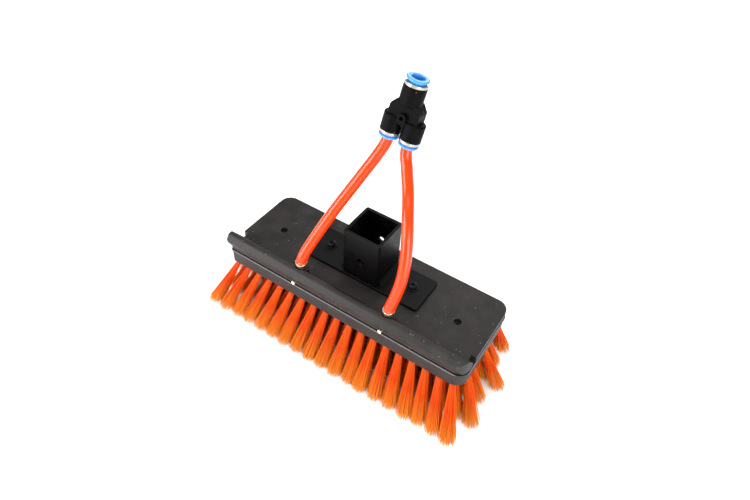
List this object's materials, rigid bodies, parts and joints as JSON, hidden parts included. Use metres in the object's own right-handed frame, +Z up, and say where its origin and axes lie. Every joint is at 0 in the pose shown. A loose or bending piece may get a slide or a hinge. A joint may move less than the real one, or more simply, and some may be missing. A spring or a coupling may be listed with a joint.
{
  "type": "water-fed wash brush head",
  "caption": "Water-fed wash brush head with a square pole socket, flared filament tufts, and two hoses joined by a push-fit Y union.",
  "frame": {"origin": "middle of the area that the brush stands on, at the level of the tuft ends, hoses and union left out", "axes": "+X along the block, +Y to the back, away from the spray jets, +Z up out of the pole socket"},
  "size_m": [0.3028, 0.1305, 0.2609],
  "materials": {
    "moulded_cover": "satin moulded polypropylene",
    "moulded_base": "satin moulded polypropylene",
    "gasket_rubber": "matte",
    "blackened_screw": "blackened steel",
    "anchor_wire": "flat steel wire",
    "painted_tube": "semi-gloss black paint",
    "painted_plate": "semi-gloss black paint",
    "painted_weld": "semi-gloss black paint",
    "blackened_washer": "blackened steel",
    "insert_brass": "knurled brass",
    "tail_brass": "machined brass",
    "sealing_fibre": "pressed sealing fibre",
    "jet_brass": "machined brass",
    "hose_polyurethane": "glossy polyurethane",
    "union_polymer": "satin glass-filled polymer",
    "nickel_ring": "nickel plate",
    "collet_acetal": "glossy acetal",
    "grab_steel": "stainless spring steel",
    "seal_rubber": "matte nitrile rubber",
    "tuft_filament": "crimped filament"
  },
  "bodies": {
    "brush": {"top_cover": "moulded_cover", "brush_base": "moulded_base", "cover_gasket": "gasket_rubber", "cover_screws": "blackened_screw", "tuft_anchors": "anchor_wire", "socket_tube": "painted_tube", "socket_plate": "painted_plate", "weld_beads": "painted_weld", "plate_screws": "blackened_screw", "plate_washers": "blackened_washer", "plate_inserts": "insert_brass", "hose_barb_left": "tail_brass", "hose_barb_right": "tail_brass", "barb_washers": "sealing_fibre", "spray_jet_left": "jet_brass", "spray_jet_right": "jet_brass", "hose_left": "hose_polyurethane", "hose_right": "hose_polyurethane", "y_body": "union_polymer", "inlet_ring": "nickel_ring", "outlet_ring_left": "nickel_ring", "outlet_ring_right": "nickel_ring", "grab_rings": "grab_steel", "port_seals": "seal_rubber", "tuft_row_1": "tuft_filament", "tuft_row_2": "tuft_filament", "tuft_row_3": "tuft_filament", "tuft_row_4": "tuft_filament", "tuft_row_5": "tuft_filament", "tuft_row_6": "tuft_filament"},
    "inlet_release": {"inlet_collet": "collet_acetal"},
    "outlet_release_left": {"outlet_collet_left": "collet_acetal"},
    "outlet_release_right": {"outlet_collet_right": "collet_acetal"}
  },
  "joints": [
    {"name": "inlet_collet_press", "type": "slide", "parent": "brush", "child": "inlet_release", "axis": [-0.1105, -0.2164, -0.97], "range_m": [0, 0.0012], "stiffness_N_per_m": 900},
    {"name": "outlet_collet_left_press", "type": "slide", "parent": "brush", "child": "outlet_release_left", "axis": [0.1105, 0.2164, 0.97], "range_m": [0, 0.0012], "stiffness_N_per_m": 900},
    {"name": "outlet_collet_right_press", "type": "slide", "parent": "brush", "child": "outlet_release_right", "axis": [0.1105, 0.2164, 0.97], "range_m": [0, 0.0012], "stiffness_N_per_m": 900}
  ]
}
